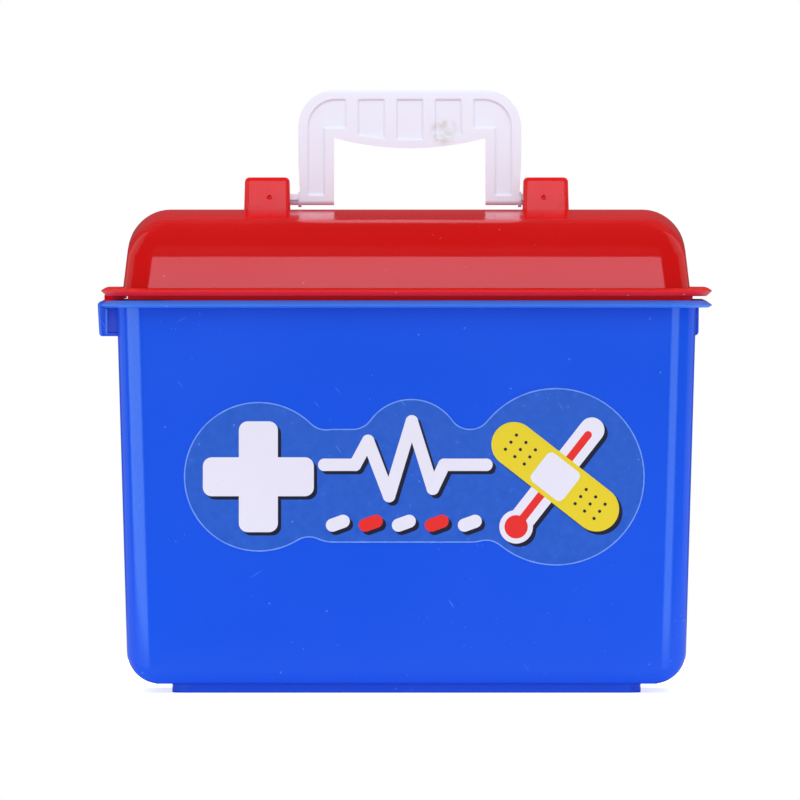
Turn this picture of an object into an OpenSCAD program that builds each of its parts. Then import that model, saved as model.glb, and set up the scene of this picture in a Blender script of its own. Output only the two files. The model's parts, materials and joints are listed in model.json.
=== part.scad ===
// Toy doctor case. A drafted tub stands on a stepped foot. A domed lid hinges on two ears
// at the tub's left end and snaps into a pocket in its right end. A carry handle swings
// between two hollow lugs on the lid, and a printed label sits on the tub's front.
// Millimetres, +X right, -Y front, +Z up. The origin is under the middle of the foot.

/* [Tub] */
// Width of the tub at its rim, outside
tub_w = 193.4; // [170:0.2:220]
// Depth of the tub at its rim, outside
tub_d = 108; // [96:0.5:140]
// Height of the rim's top face above the ground
rim_z = 131; // [115:0.2:160]
// Slope of the tub's walls, in degrees from upright
tub_draft = 1.64; // [0.8:0.02:2.5]
// Wall thickness of the tub
tub_wall = 1.6; // [1.2:0.1:2]
// Radius of the tub's upright corners
tub_corner_r = 9; // [7:0.5:12]
// Radius where the tub's ends meet its floor
end_r = 10.5; // [9:0.5:16]
// Radius where the tub's front and back meet its floor
front_r = 4.5; // [3:0.5:7]
// How far the tub's flange stands out from the rim
flange_w = 5.4; // [4.4:0.1:6]
// Thickness of the tub's flange
flange_t = 2.4; // [2:0.1:3]

/* [Foot] */
// Height of the foot under the tub's belly
foot_h = 3; // [2:0.1:4]
// How far the foot is set in from the tub's ends
foot_inset_x = 14.8; // [10:0.2:20]
// How far the foot is set in from the tub's front and back
foot_inset_y = 5.5; // [5:0.5:12]
// Corner radius of the foot
foot_r = 6; // [3:0.5:9]

/* [Lid] */
// How far the lid's dome is set in from the tub's rim, all round
lid_inset = 2.1; // [2.1:0.1:3]
// Height of the lid's crown above its flange
lid_h = 26.1; // [22:0.1:32]
// Slope of the lid's walls, in degrees from upright
lid_draft = 5.8; // [3:0.2:8]
// Wall thickness of the lid
lid_wall = 1.6; // [1.2:0.1:2]
// Radius of the lid's upright corners at the flange
lid_corner_r = 8.7; // [6:0.1:11]
// Radius where the lid's walls turn into its top
lid_top_r = 14; // [10:0.5:16]
// Radius of the lid's top from front to back
dome_r = 220; // [160:5:400]
// Thickness of the lid's flange
lid_flange_t = 2.7; // [2:0.1:3.4]
// Gap seen between the two flanges
lid_gap = 1.4; // [1.1:0.1:2]
// Clearance between the lid's seat and the rim it rests on
seat_play = 0.2; // [0.1:0.05:0.3]
// Width of the slit between the end of the lid's seat and the root of a hinge arm
seat_slit = 1.3; // [0.8:0.1:2]
// How far the lid's locating lip reaches down into the tub
lip_depth = 3; // [2:0.2:4]
// Thickness of the locating lip
lip_t = 1.4; // [1:0.1:1.8]
// Clearance between the locating lip and the tub's wall
lip_play = 0.6; // [0.3:0.1:1]

/* [Hinge] */
// Distance between the inner faces of the two ears
hinge_span = 80; // [44:1:84]
// Thickness of each ear
ear_t = 3.6; // [3:0.1:5]
// How far an ear stands out from the rim
ear_reach = 6.4; // [6.2:0.1:7.5]
// Height of an ear from its lower edge to the flange
ear_drop = 9.6; // [9:0.1:11]
// Distance of the hinge axis outside the rim
hinge_out = 2.7; // [2.5:0.05:2.9]
// Distance of the hinge axis under the rim's top face
hinge_drop = 8.7; // [8:0.1:9]
// Radius of the lid's hinge pins
hinge_pin_r = 1.6; // [1.3:0.05:1.8]
// Depth of the hinge bores
hinge_bore_depth = 2.5; // [2:0.1:2.6]
// Radial clearance of every pin in its bore
pin_play = 0.06; // [0.02:0.01:0.1]
// Width of each hinge arm of the lid
arm_w = 8; // [6:0.5:12]
// Thickness of each hinge arm
arm_t = 3; // [2.4:0.1:3.6]
// Side clearance between a hinge arm and its ear
arm_play = 0.4; // [0.2:0.1:0.8]
// Wall around a hinge pin at the foot of its arm
arm_wall = 0.8; // [0.6:0.1:0.85]

/* [Catch] */
// Width of the lid's snap tongue
tongue_w = 16; // [12:1:24]
// Thickness of the snap tongue
tongue_t = 1.5; // [1.2:0.1:1.8]
// Reach of the snap nose from the tongue
nose_reach = 1.1; // [0.8:0.1:1.2]
// Height of the snap nose
nose_h = 2.6; // [2:0.2:3.2]
// Depth of the nose's top under the rim
nose_drop = 5; // [4.4:0.2:6]
// How far the pocket bulges out of the tub's end wall
pocket_bulge = 1.3; // [1.1:0.1:1.8]
// Height of the pocket's bulge
pocket_h = 11.8; // [11.4:0.2:14]
// Side clearance of the tongue in its pocket
tongue_play = 1; // [0.6:0.2:1.6]

/* [Lugs] */
// Distance between the inner faces of the two lugs
lug_gap = 77.8; // [70:0.2:90]
// Width of a lug at its foot
lug_w = 15.6; // [12:0.1:18]
// Depth of a lug at its foot
lug_d = 13; // [11:0.5:16]
// Height of a lug above the lid's crown
lug_h = 10.8; // [9:0.2:12]
// Wall thickness of a lug
lug_wall = 2; // [1.6:0.1:2.4]
// Radius of a lug's upper edges
lug_edge_r = 1.3; // [0.8:0.1:1.8]
// Slope of a lug's sides, in degrees from upright
lug_draft = 1.5; // [0.5:0.1:3]

/* [Handle] */
// Width of the handle across its legs
handle_w = 74.8; // [66:0.2:76]
// Height of the handle's top above its pins' axis
handle_h = 36.8; // [32:0.2:45]
// Thickness of the handle from front to back
handle_t = 5.2; // [4:0.2:5.6]
// Height of the pins' axis above the lid's crown
handle_axis_up = 3.4; // [3.2:0.1:4]
// Width of a leg
leg_w = 12; // [9:0.2:14]
// Outer corner radius of the handle
handle_r = 12.6; // [7:0.1:15]
// Height of the finger gap's upper corners above the pins' axis
gap_h = 20.6; // [18:0.2:24]
// How far the grip bows down at its middle
grip_bow = 3.4; // [1:0.2:5]
// Radius of the handle's pins
handle_pin_r = 1.9; // [1.6:0.05:2.2]
// Length of the handle's pins
handle_pin_l = 7; // [6.4:0.1:8]
// Sideways shift of the handle in its play
handle_shift = 1.1; // [-1.1:0.1:1.1]
// Depth of the pockets in the handle's faces
recess_depth = 0.9; // [0.6:0.1:1.6]
// Border left around the handle's pockets
recess_border = 3; // [2.4:0.1:3.6]
// Width of a rib between two pockets
rib_w = 3.6; // [2.4:0.1:5]
// Width of a pocket in the grip
recess_w = 9.3; // [8:0.1:9.6]

/* [Label] */
// Width of the label
label_w = 153.7; // [150:0.5:160]
// Height of the label
label_h = 59.3; // [57:0.5:70]
// Height of the label's middle above the ground
label_z = 72.2; // [60:0.2:80]
// Sideways place of the label's middle
label_x = 2.6; // [-5:0.2:5]
// Thickness of the label's film
film_t = 0.16; // [0.1:0.02:0.3]
// Thickness of the print
ink_t = 0.06; // [0.04:0.01:0.1]
// Thickness of the glue under the film
glue_t = 0.02; // [0.02:0.01:0.05]
// Offset of the printed shadows, sideways and down
shadow_step = 1.1; // [0.5:0.1:1.6]

/* [Hidden] */

// Fineness of round shapes: a smooth hull, a true circle, and a long shallow arc
HULL_FN = 40;
ROUND_FN = 64;
ARC_FN = 240;
// Overlap that fuses two shapes of one moulding, and a slab thin enough to act as an outline
FUSE = 0.4;
THIN = 0.02;

belly_z = foot_h;
flange_z = rim_z - flange_t;
flange_half_w = tub_w / 2 + flange_w;
flange_half_d = tub_d / 2 + flange_w;
flange_corner_r = tub_corner_r + flange_w;

lid_w = tub_w - 2 * lid_inset;
lid_d = tub_d - 2 * lid_inset;
lid_z = rim_z + lid_gap;
dome_z = lid_z + lid_flange_t;
crown_z = dome_z + lid_h;
seat_out = 1.2;
lip_half_w = tub_w / 2 - tub_wall - lip_play;
lip_half_d = tub_d / 2 - tub_wall - lip_play;

hinge_x = -tub_w / 2 - hinge_out;
hinge_z = rim_z - hinge_drop;
boss_r = hinge_pin_r + arm_wall;
ear_corner_r = 1.5;
ear_recess = 0.6;
ear_border = 3;
notch_play = 0.5;
arm_root = tub_wall + 0.8;

lug_x = lug_gap / 2 + lug_w / 2;
lug_top = crown_z + lug_h;
lug_root = crown_z - 2.4;
handle_z = crown_z + handle_axis_up;
leg_taper = 0.7;
leg_foot_r = 1.6;
grip_edge_r = 1.2;

// Half the tub's outer width and depth at height z
function tub_half_w(z) = tub_w / 2 - (rim_z - z) * tan(tub_draft);
function tub_half_d(z) = tub_d / 2 - (rim_z - z) * tan(tub_draft);
// Half the lid's outer width and depth at height z
function lid_half_w(z) = lid_w / 2 - (z - dome_z) * tan(lid_draft);
function lid_half_d(z) = lid_d / 2 - (z - dome_z) * tan(lid_draft);
// Height of the lid's top at a distance y from its middle
function top_z(y) = crown_z - dome_r + sqrt(dome_r * dome_r - y * y);

// Flat shapes

// A rectangle with round corners, centred
module plate(w, d, r) {
  square([w - 2 * r, d], center = true);
  square([w, d - 2 * r], center = true);
  for (x = [-1, 1], y = [-1, 1])
    translate([x * (w / 2 - r), y * (d / 2 - r)]) circle(r, $fn = ROUND_FN);
}

// A bar with half-round ends, centred
module capsule(w, d) {
  square([w - d, d], center = true);
  for (x = [-1, 1]) translate([x * (w - d) / 2, 0]) circle(d / 2, $fn = ROUND_FN);
}

// A line of width w through a list of points, with round ends and joints. Its bars are a
// touch narrower than the joints, so that no two outlines only graze each other
module stroke(points, w) {
  bar = w - 0.08;
  for (p = points) translate(p) circle(w / 2, $fn = ROUND_FN);
  for (i = [1 : len(points) - 1]) {
    a = points[i - 1];
    b = points[i];
    translate(a)
      rotate(atan2(b[1] - a[1], b[0] - a[0]))
        translate([0, -bar / 2]) square([norm(b - a), bar]);
  }
}

// Sweeps a profile round a rectangle with round corners: the profile's x runs outwards from
// the path and its y runs up
module swept_round(half_w, half_d, r) {
  for (side = [0 : 3]) {
    run = (side % 2 == 0 ? half_w : half_d) - r;
    out = side % 2 == 0 ? half_d : half_w;
    across = side % 2 == 0 ? half_w : half_d;
    rotate(90 * side) {
      translate([0, out, 0])
        rotate([90, 0, 90]) linear_extrude(2 * run, center = true) children();
      translate([across - r, out - r, 0])
        rotate_extrude(angle = 90, $fn = ROUND_FN) translate([r, 0]) children();
    }
  }
}

// The tub

// The tub's outer form, grown outwards by grow
module tub_form(grow) {
  end_z = belly_z + end_r;
  front_z = belly_z + front_r;
  hull() {
    translate([0, 0, rim_z - THIN])
      linear_extrude(THIN)
        plate(tub_w + 2 * grow, tub_d + 2 * grow, tub_corner_r + grow, $fn = HULL_FN);
    for (x = [-1, 1], y = [-1, 1])
      translate([
        x * (tub_half_w(end_z) - end_r), y * (tub_half_d(end_z) - tub_corner_r), end_z
      ])
        scale([end_r + grow, tub_corner_r + grow, end_r + grow]) sphere(1, $fn = HULL_FN);
    for (y = [-1, 1])
      translate([0, y * (tub_half_d(front_z) - front_r), front_z])
        rotate([0, 90, 0])
          cylinder(r = front_r + grow, h = 2 * (tub_half_w(end_z) - end_r), center = true,
                   $fn = HULL_FN);
  }
}

module foot_form(grow, bottom, top) {
  translate([0, 0, bottom])
    linear_extrude(top - bottom)
      plate(2 * (tub_half_w(belly_z) - foot_inset_x + grow),
            2 * (tub_half_d(belly_z) - foot_inset_y + grow), foot_r + grow);
}

// The flange's section: its edge is bevelled to a low point
module flange_profile() {
  root = tub_wall / 2;
  polygon([
    [0, flange_z], [root + flange_w - 1.4, flange_z],
    [root + flange_w, flange_z + 0.8], [root + flange_w - 2.2, rim_z], [0, rim_z]
  ]);
}

module tub_flange() {
  swept_round(tub_w / 2 - tub_wall / 2, tub_d / 2 - tub_wall / 2, tub_corner_r - tub_wall / 2)
    flange_profile();
}

// One ear in side view: x runs outwards from the rim and y runs up from the rim's top
module ear_outline() {
  low = -flange_t - ear_drop;
  high = -0.3;
  bevel = 0.9;
  difference() {
    translate([-tub_wall / 2, low]) square([ear_reach + tub_wall / 2, high - low]);
    translate([ear_reach - ear_corner_r, low])
      difference() {
        translate([0, -1]) square([ear_corner_r + 1, ear_corner_r + 1]);
        translate([0, ear_corner_r]) circle(ear_corner_r, $fn = ROUND_FN);
      }
    translate([ear_reach, high]) rotate(45) square([4, 2 * bevel / sqrt(2)], center = true);
  }
}

// The front ear, with its sunk outer face; the rear one is its mirror image
module ear() {
  inner = -hinge_span / 2;
  translate([-tub_w / 2, inner, rim_z])
    rotate([90, 0, 180]) mirror([0, 0, 1])
      difference() {
        linear_extrude(ear_t) ear_outline();
        translate([0, -flange_t - ear_drop + ear_border, ear_t - ear_recess])
          linear_extrude(ear_t) square([ear_reach - ear_border, ear_drop - ear_border - 0.4]);
      }
}

module hinge_bore() {
  translate([hinge_x, -hinge_span / 2 + FUSE, hinge_z])
    rotate([90, 0, 0])
      cylinder(r = hinge_pin_r + pin_play, h = hinge_bore_depth + FUSE, $fn = ROUND_FN);
}

// The slot in the flange that lets a hinge arm swing outwards
module arm_slot() {
  deep = arm_w + arm_play + notch_play;
  translate([-tub_w / 2 - 0.3 - 2 * flange_w, -hinge_span / 2, flange_z - 1])
    cube([2 * flange_w, deep, flange_t + 2]);
}

// The bulge on the right end wall, round at its lower edge, and the pocket inside it
module catch_bulge() {
  reach = tub_wall / 2 + pocket_bulge;
  wall_x = tub_half_w(flange_z) - tub_wall / 2;
  translate([wall_x, (tongue_w + 6) / 2, flange_z])
    rotate([90, 0, 0])
      linear_extrude(tongue_w + 6) {
        translate([0, -pocket_h + reach]) square([reach, pocket_h - reach]);
        translate([0, -pocket_h + reach])
          intersection() {
            circle(reach, $fn = ROUND_FN);
            translate([0, -reach]) square([reach, reach]);
          }
      }
}

module catch_pocket() {
  inside = tub_w / 2 - tub_wall;
  back = inside + pocket_bulge - 0.2;
  half = tongue_w / 2 + tongue_play;
  low = flange_z - pocket_h + tub_wall + 0.4;
  high = rim_z - nose_drop + 0.3;
  translate([inside - 2, -half, low]) cube([back - inside + 2, 2 * half, high - low]);
}

module tub() {
  color("royalblue")
    difference() {
      union() {
        tub_form(0);
        foot_form(0, 0, belly_z + FUSE);
        tub_flange();
        for (side = [0, 1]) mirror([0, side, 0]) ear();
        catch_bulge();
      }
      difference() {
        tub_form(-tub_wall);
        translate([0, 0, rim_z]) cube([tub_w, tub_d, 2 * THIN], center = true);
      }
      translate([0, 0, rim_z - 1])
        linear_extrude(2)
          plate(tub_w - 2 * tub_wall, tub_d - 2 * tub_wall, tub_corner_r - tub_wall);
      foot_form(-tub_wall, tub_wall, belly_z + tub_wall + FUSE);
      for (side = [0, 1]) mirror([0, side, 0]) {
        hinge_bore();
        arm_slot();
      }
      catch_pocket();
    }
}

// The lid

// The lid's outer form, grown outwards by grow: two rows of balls carry its round top
module lid_form(grow) {
  edge_y = lid_half_d(top_z(lid_d / 3) - lid_top_r) - lid_top_r;
  intersection() {
    hull() {
      translate([0, 0, dome_z - THIN])
        linear_extrude(THIN)
          plate(lid_w + 2 * grow, lid_d + 2 * grow, lid_corner_r + grow, $fn = HULL_FN);
      for (x = [-1, 1], step = [-2 : 2]) {
        y = edge_y * step / 2;
        z = top_z(y) - lid_top_r;
        translate([x * (lid_half_w(z) - lid_top_r), y, z])
          sphere(lid_top_r + grow, $fn = HULL_FN);
      }
    }
    translate([-lid_w, -lid_d, dome_z - THIN]) cube([2 * lid_w, 2 * lid_d, 2 * lid_h]);
  }
}

// The lid's flange: its edge is bevelled to a high point
module lid_flange_profile() {
  reach = flange_half_w - lid_w / 2 + lid_wall / 2;
  polygon([
    [0, lid_z], [reach - 2, lid_z], [reach, dome_z - 0.9], [reach - 1.4, dome_z],
    [0, dome_z]
  ]);
}

module lid_flange() {
  half_w = lid_w / 2 - lid_wall / 2;
  swept_round(half_w, half_w + flange_half_d - flange_half_w, lid_corner_r - lid_wall / 2)
    lid_flange_profile();
}

// The seat that stands on the rim, and the locating lip inside it
module seat_profile() {
  out = tub_wall + lip_play - seat_out;
  polygon([
    [0, rim_z - lip_depth], [-lip_t, rim_z - lip_depth], [-lip_t, lid_z + FUSE],
    [out, lid_z + FUSE], [out, rim_z + seat_play], [0, rim_z + seat_play]
  ]);
}

module seat_ring() {
  swept_round(lip_half_w, lip_half_d, tub_corner_r - tub_wall - lip_play) seat_profile();
}

// Cuts the lip away at the hinge end, where it would catch the tub's wall on its way round,
// and ends the seat a slit before the roots of the hinge arms
module lip_relief() {
  reach = 16;
  low = rim_z - lip_depth - 1;
  translate([-tub_w / 2, -tub_d / 2, low]) cube([reach, tub_d, rim_z + seat_play - low]);
  translate([-tub_w / 2, -tub_d / 2, low])
    cube([arm_root + seat_slit, tub_d, lid_z + 2 * FUSE - low]);
}

// The front hinge arm with its pin; the rear one is its mirror image
module hinge_arm() {
  outer = -hinge_span / 2 + arm_play;
  translate([hinge_x, outer + arm_w, hinge_z])
    rotate([90, 0, 0]) {
      linear_extrude(arm_w) {
        circle(boss_r, $fn = ROUND_FN);
        translate([-arm_t / 2, 0]) square([arm_t, lid_z + FUSE - hinge_z]);
      }
      cylinder(r = hinge_pin_r, h = arm_w + arm_play + hinge_bore_depth - 0.2,
               $fn = ROUND_FN);
    }
  translate([hinge_x - arm_t / 2, outer, rim_z + seat_play])
    cube([hinge_out + arm_t / 2 + arm_root, arm_w, lid_z + FUSE - rim_z - seat_play]);
}

// The snap tongue at the right end, with its nose ramped underneath
module snap_tongue() {
  face = lip_half_w;
  top = rim_z - nose_drop;
  low = top - nose_h;
  translate([0, tongue_w / 2, 0])
    rotate([90, 0, 0])
      linear_extrude(tongue_w)
        polygon([
          [face - tongue_t, lid_z + FUSE], [face - tongue_t, low - 0.8],
          [face, low - 0.8], [face, low], [face + nose_reach, low + nose_h / 2],
          [face + nose_reach, top], [face, top], [face, lid_z + FUSE]
        ]);
}

// A lug's outer form or, with grow under zero, its core
module lug_form(grow, low, high, edge) {
  lean = tan(lug_draft);
  w = lug_w + 2 * grow;
  d = lug_d + 2 * grow;
  r = 1.2;
  hull() {
    translate([0, 0, low]) linear_extrude(THIN) plate(w, d, r);
    translate([0, 0, high - edge])
      linear_extrude(THIN)
        plate(w - 2 * lean * (high - low), d - 2 * lean * (high - low), r);
    translate([0, 0, high - THIN])
      linear_extrude(THIN)
        plate(w - 2 * lean * (high - low) - edge, d - 2 * lean * (high - low) - edge, r);
  }
}

module lug_bore() {
  translate([-lug_w / 2 - 1, 0, handle_z])
    rotate([0, 90, 0])
      cylinder(r = handle_pin_r + pin_play, h = lug_wall + 2.2, $fn = ROUND_FN);
}

module lid() {
  color("firebrick")
    difference() {
      union() {
        lid_form(0);
        lid_flange();
        difference() {
          seat_ring();
          lip_relief();
        }
        for (side = [0, 1]) mirror([0, side, 0]) hinge_arm();
        snap_tongue();
        for (side = [0, 1]) mirror([side, 0, 0])
          translate([lug_x, 0, 0]) lug_form(0, lug_root, lug_top, lug_edge_r);
      }
      lid_form(-lid_wall);
      translate([0, 0, lid_z - 1])
        linear_extrude(dome_z - lid_z + 1)
          plate(lid_w - 2 * lid_wall, lid_d - 2 * lid_wall, lid_corner_r - lid_wall);
      for (side = [0, 1]) mirror([side, 0, 0])
        translate([lug_x, 0, 0]) {
          lug_form(-lug_wall, lug_root - 1, lug_top - lug_wall, 0.2);
          lug_bore();
        }
    }
}

// The handle, drawn with its pins' axis at y = 0

// Radius of the grip's bowed underside
bow_r = (pow(handle_w / 2 - leg_w, 2) + pow(grip_bow, 2)) / (2 * grip_bow);

module handle_outline() {
  half = handle_w / 2;
  foot = -handle_pin_r;
  difference() {
    union() {
      translate([0, (handle_h + foot) / 2])
        plate(handle_w, handle_h - foot, leg_foot_r);
    }
    for (side = [-1, 1]) {
      translate([side * (half - handle_r), handle_h - handle_r])
        difference() {
          translate([side > 0 ? 0 : -handle_r - 1, 0]) square(handle_r + 1);
          circle(handle_r, $fn = ROUND_FN);
        }
      polygon([
        [side * half, handle_h / 3], [side * (half - leg_taper), 0],
        [side * (half - leg_taper), foot - 1], [side * (half + 1), foot - 1],
        [side * (half + 1), handle_h / 3]
      ]);
    }
    difference() {
      translate([-half + leg_w, foot - 1])
        square([handle_w - 2 * leg_w, gap_h - foot + 1]);
      translate([0, gap_h - grip_bow + bow_r]) circle(bow_r, $fn = ARC_FN);
    }
  }
}

// The pockets sunk in both faces: three in the grip and one round each corner
module handle_recesses() {
  half = handle_w / 2;
  top = handle_h - recess_border;
  corner = 1.5 * recess_w + 2 * rib_w;
  pocket_r = 0.8;
  for (i = [-1 : 1])
    intersection() {
      translate([i * (recess_w + rib_w), handle_h / 2])
        plate(recess_w, 2 * top - handle_h, pocket_r);
      difference() {
        square([handle_w, 2 * handle_h], center = true);
        translate([0, gap_h - grip_bow + bow_r]) difference() {
          square([handle_w, 4 * bow_r], center = true);
          circle(bow_r - recess_border + 0.4, $fn = ARC_FN);
        }
      }
    }
  for (side = [0, 1]) mirror([side, 0])
    difference() {
      union() {
        translate([(corner + half - recess_border) / 2, (top + gap_h + recess_border) / 2])
          plate(half - recess_border - corner, top - gap_h - recess_border, pocket_r);
        translate([half - leg_w / 2, (top + 1.2) / 2])
          plate(leg_w - 2 * recess_border, top - 1.2, pocket_r);
      }
      translate([half - handle_r, handle_h - handle_r])
        difference() {
          square(handle_r + 1);
          circle(handle_r - recess_border, $fn = ROUND_FN);
        }
    }
}

// Side view of the handle, with x from front to back
module handle_side() {
  low = -handle_pin_r;
  difference() {
    translate([-handle_t / 2, low]) square([handle_t, handle_h - low]);
    for (side = [-1, 1]) {
      translate([side * (handle_t / 2 - leg_foot_r), low + leg_foot_r])
        difference() {
          translate([side > 0 ? 0 : -leg_foot_r - 1, -leg_foot_r - 1]) square(leg_foot_r + 1);
          circle(leg_foot_r, $fn = ROUND_FN);
        }
      translate([side * (handle_t / 2 - grip_edge_r), handle_h - grip_edge_r])
        difference() {
          translate([side > 0 ? 0 : -grip_edge_r - 1, 0]) square(grip_edge_r + 1);
          circle(grip_edge_r, $fn = ROUND_FN);
        }
    }
  }
}

module handle() {
  half = handle_w / 2;
  collar_r = handle_pin_r + 0.7;
  color("lavender")
    translate([handle_shift, 0, handle_z]) {
      difference() {
        intersection() {
          rotate([90, 0, 0]) linear_extrude(handle_t, center = true) handle_outline();
          rotate([90, 0, 90]) linear_extrude(handle_w, center = true) handle_side();
        }
        for (turn = [0, 180])
          rotate(turn)
            translate([0, -handle_t / 2 + recess_depth, 0])
              rotate([90, 0, 0]) linear_extrude(recess_depth + 1) handle_recesses();
      }
      for (turn = [0, 180])
        rotate(turn)
          translate([half - leg_taper - FUSE, 0, 0])
            rotate([0, 90, 0]) {
              cylinder(r = collar_r, h = leg_taper + FUSE, $fn = ROUND_FN);
              cylinder(r = handle_pin_r, h = leg_taper + FUSE + handle_pin_l, $fn = ROUND_FN);
            }
    }
}

// The label, drawn flat with its middle at the origin and laid on the sloping front wall

module on_front_wall(lift) {
  translate([label_x, -tub_half_d(label_z), label_z])
    rotate([90 + tub_draft, 0, 0]) translate([0, 0, lift]) children();
}

// Places and sizes of the printed motifs
lobe_r = 25;
crest_x = -1;
crest_y = 9;
crest_r = 17;
waist_x = -4;
waist_y = -3;
waist_w = 72;
waist_h = 38;
waist_r = 13;
film_blend_r = 7;
badge_x = -52;
badge_size = 37;
badge_arm = 13;
badge_r = 3;
pulse_x = -30;
pulse_y = 4;
pulse_run = 54;
pulse_high = 14.5;
pulse_w = 4.2;
tablet_x = -3.5;
tablet_y = -15.5;
tablet_step = 11;
tablet_l = 8.2;
tablet_w = 4.4;
kit_x = 47;
plaster_turn = -38;
plaster_l = 50;
plaster_w = 15;
pad_l = 13.5;
pad_w = 12;
pad_r = 2;
hole_r = 0.55;
hole_step_x = 4;
hole_step_y = 3;
gauge_turn = 52;
gauge_l = 48;
gauge_w = 8.4;
gauge_rim = 1.7;
bulb_r = 5.6;
column_l = 38;
column_w = 2.6;

module film_outline() {
  offset(r = -film_blend_r, $fn = HULL_FN)
    offset(r = film_blend_r, $fn = HULL_FN) {
      translate([lobe_r - label_w / 2, 0]) circle(lobe_r, $fn = ROUND_FN);
      translate([label_w / 2 - label_h / 2, 0]) circle(label_h / 2, $fn = ROUND_FN);
      translate([crest_x, crest_y]) circle(crest_r, $fn = ROUND_FN);
      translate([waist_x, waist_y]) plate(waist_w, waist_h, waist_r);
    }
}

module badge() {
  translate([badge_x, 0]) {
    plate(badge_size, badge_arm, badge_r);
    plate(badge_arm, badge_size, badge_r);
  }
}

// The pulse line: shares of its run across and of its highest beat up
module pulse() {
  beats = [
    [0, 0], [0.19, 0], [0.27, 0.55], [0.4, -0.72], [0.54, 1], [0.67, -0.55], [0.74, 0], [1, 0]
  ];
  translate([pulse_x, pulse_y])
    stroke([for (b = beats) [b[0] * pulse_run, b[1] * pulse_high]], pulse_w);
}

// The tablets under the pulse line: those of one colour, from the first one on
module tablets(first) {
  for (i = [first : 2 : 4])
    translate([tablet_x + (i - 2) * tablet_step, tablet_y]) rotate(20) capsule(tablet_l, tablet_w);
}

module on_plaster() {
  translate([kit_x, 0]) rotate(plaster_turn) children();
}

module plaster() {
  on_plaster() capsule(plaster_l, plaster_w);
}

module plaster_pad() {
  on_plaster() plate(pad_l, pad_w, pad_r);
}

module plaster_holes() {
  first = pad_l / 2 + hole_step_x;
  on_plaster()
    for (side = [-1, 1], i = [0 : 2], j = [-1 : 1])
      translate([side * (first + i * hole_step_x), j * hole_step_y])
        circle(hole_r, $fn = 24);
}

// A thermometer behind the plaster, with a red bulb and column
module gauge() {
  bulb_x = bulb_r / 2 - gauge_l / 2;
  translate([kit_x, 0])
    rotate(gauge_turn) {
      capsule(gauge_l, gauge_w);
      translate([bulb_x, 0]) circle(bulb_r, $fn = ROUND_FN);
    }
}

module gauge_column() {
  bulb_x = bulb_r / 2 - gauge_l / 2;
  translate([kit_x, 0])
    rotate(gauge_turn) {
      translate([bulb_x, 0]) circle(bulb_r - gauge_rim, $fn = ROUND_FN);
      capsule(column_l, column_w);
    }
}

module all_motifs() {
  badge();
  pulse();
  tablets(0);
  tablets(1);
  gauge();
  plaster();
}

module label_film() {
  color("mediumblue") on_front_wall(glue_t) linear_extrude(film_t) film_outline();
}

module label_shadow() {
  color("midnightblue")
    on_front_wall(glue_t + film_t)
      linear_extrude(ink_t) {
        difference() {
          translate([shadow_step, -shadow_step]) all_motifs();
          all_motifs();
        }
        plaster_holes();
      }
}

module label_white() {
  color("white")
    on_front_wall(glue_t + film_t)
      linear_extrude(ink_t) {
        badge();
        pulse();
        tablets(0);
        difference() {
          gauge();
          gauge_column();
          plaster();
        }
        plaster_pad();
      }
}

module label_red() {
  color("red")
    on_front_wall(glue_t + film_t)
      linear_extrude(ink_t) {
        difference() {
          gauge_column();
          plaster();
        }
        tablets(1);
      }
}

module label_yellow() {
  color("gold")
    on_front_wall(glue_t + film_t)
      linear_extrude(ink_t)
        difference() {
          plaster();
          plaster_pad();
          plaster_holes();
        }
}

tub();
lid();
handle();
label_film();
label_shadow();
label_white();
label_red();
label_yellow();
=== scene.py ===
# %% [markdown]
# # A toy doctor case, dressed for the camera
#
# The CAD model gives every shape its true size and place. This script loads it as a fixed
# frame, models the moulded shells again with soft edges, gives each plastic its finish,
# and sets up a camera and studio light like the photograph's.

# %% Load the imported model
import bmesh
import bpy
import json
import math
from mathutils import Matrix, Vector


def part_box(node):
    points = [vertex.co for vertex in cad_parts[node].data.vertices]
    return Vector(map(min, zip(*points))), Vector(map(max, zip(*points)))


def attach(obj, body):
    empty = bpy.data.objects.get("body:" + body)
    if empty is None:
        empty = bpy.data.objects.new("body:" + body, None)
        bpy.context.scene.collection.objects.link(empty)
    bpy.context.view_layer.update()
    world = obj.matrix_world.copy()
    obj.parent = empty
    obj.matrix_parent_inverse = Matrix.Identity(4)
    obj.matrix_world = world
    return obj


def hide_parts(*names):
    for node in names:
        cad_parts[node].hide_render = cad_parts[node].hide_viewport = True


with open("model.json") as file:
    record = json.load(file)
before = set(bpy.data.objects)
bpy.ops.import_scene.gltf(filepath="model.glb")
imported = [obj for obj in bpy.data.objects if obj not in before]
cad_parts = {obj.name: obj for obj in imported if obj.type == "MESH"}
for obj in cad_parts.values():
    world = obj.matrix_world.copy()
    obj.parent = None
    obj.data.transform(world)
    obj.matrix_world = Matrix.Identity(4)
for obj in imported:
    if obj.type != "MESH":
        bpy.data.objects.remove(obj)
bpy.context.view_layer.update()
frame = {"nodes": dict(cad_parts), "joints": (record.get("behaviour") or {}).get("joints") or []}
joints = {joint["name"]: joint for joint in frame["joints"]}
print("nodes:", sorted(frame["nodes"]))

# %% [markdown]
# ## Sizes
#
# All shapes are drawn in millimetres and shrunk to metres when they become objects. The
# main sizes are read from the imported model, so that the shells stay on their solids. Only
# the moulding details, such as radii and wall thickness, are named here.

# %% Read the main sizes from the frame
MM = 0.001
tub_low, tub_high = (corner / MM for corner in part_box("tub"))
lid_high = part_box("lid")[1] / MM
handle_low, handle_high = (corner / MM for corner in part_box("handle"))

WALL = 1.6
TUB_FLANGE_OUT = 5.4
TUB_FLANGE_T = 2.4
TUB_DRAFT = math.radians(1.64)
TUB_CORNER = 9.0
RIM_Z = tub_high.z
TUB_X = tub_high.x - TUB_FLANGE_OUT
TUB_Y = tub_high.y - TUB_FLANGE_OUT
EAR_X = tub_low.x

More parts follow.
